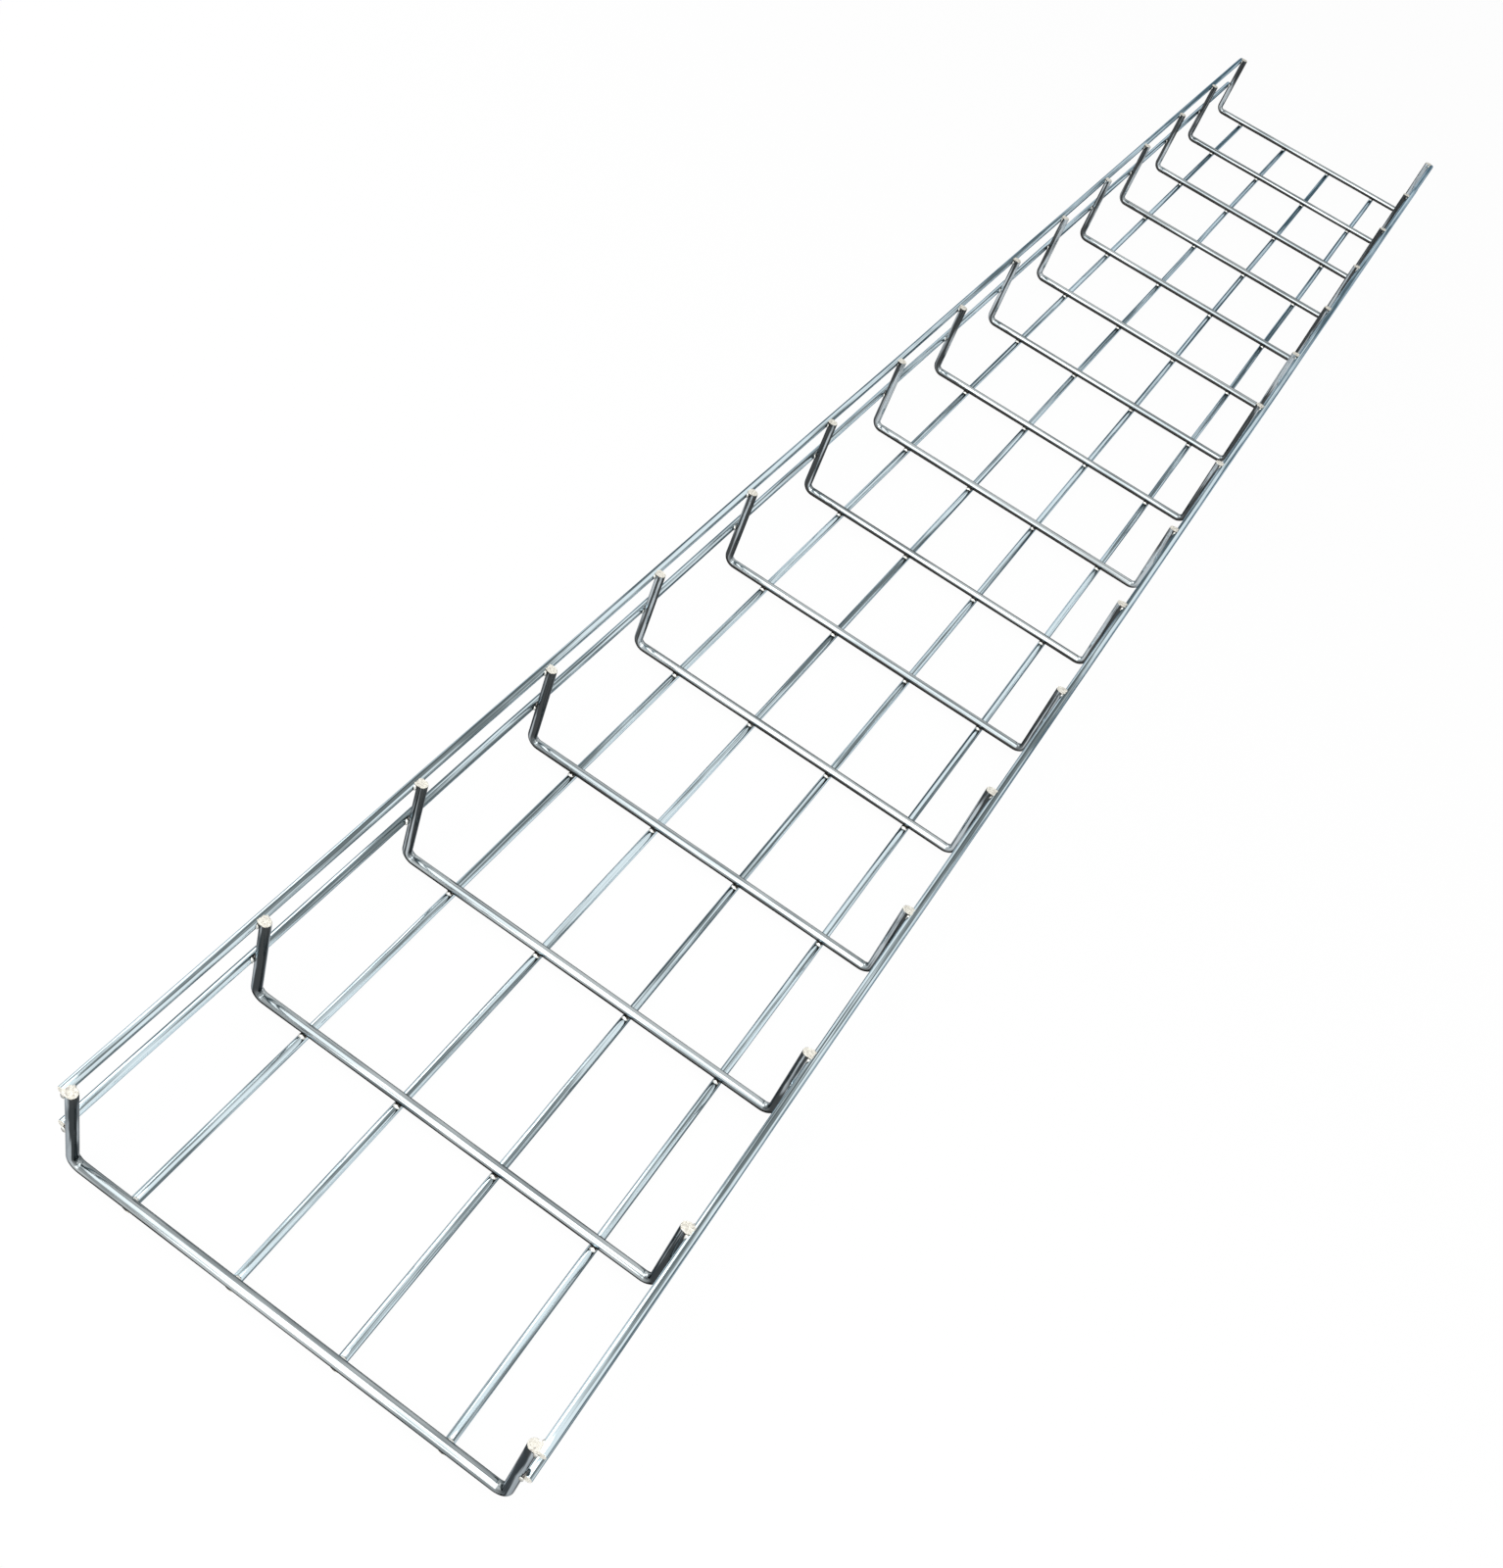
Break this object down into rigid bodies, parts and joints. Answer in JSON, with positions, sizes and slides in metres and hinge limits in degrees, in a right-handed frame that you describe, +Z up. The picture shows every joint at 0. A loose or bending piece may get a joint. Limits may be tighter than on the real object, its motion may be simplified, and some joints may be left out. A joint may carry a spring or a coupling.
{
  "type": "wire mesh cable basket",
  "caption": "Straight open-top cable basket of welded round steel wire, with a flat mesh floor and low upright mesh sides.",
  "frame": {"origin": "middle of the trough's length and width, on the level of the base wires' underside", "axes": "+X along the run of the trough, +Y across it to the left side, +Z up out of its open top"},
  "size_m": [1.505, 0.2174, 0.0583],
  "materials": {
    "cross_wire": "bright zinc-plated drawn wire",
    "long_wire": "bright zinc-plated drawn wire"
  },
  "bodies": {
    "root": {"cross_wire_01": "cross_wire", "cross_wire_02": "cross_wire", "cross_wire_03": "cross_wire", "cross_wire_04": "cross_wire", "cross_wire_05": "cross_wire", "cross_wire_06": "cross_wire", "cross_wire_07": "cross_wire", "cross_wire_08": "cross_wire", "cross_wire_09": "cross_wire", "cross_wire_10": "cross_wire", "cross_wire_11": "cross_wire", "cross_wire_12": "cross_wire", "cross_wire_13": "cross_wire", "cross_wire_14": "cross_wire", "cross_wire_15": "cross_wire", "cross_wire_16": "cross_wire", "base_wire_1": "long_wire", "base_wire_2": "long_wire", "base_wire_3": "long_wire", "base_wire_4": "long_wire", "side_wire_left": "long_wire", "side_wire_right": "long_wire", "rim_wire_left": "long_wire", "rim_wire_right": "long_wire"}
  },
  "joints": []
}
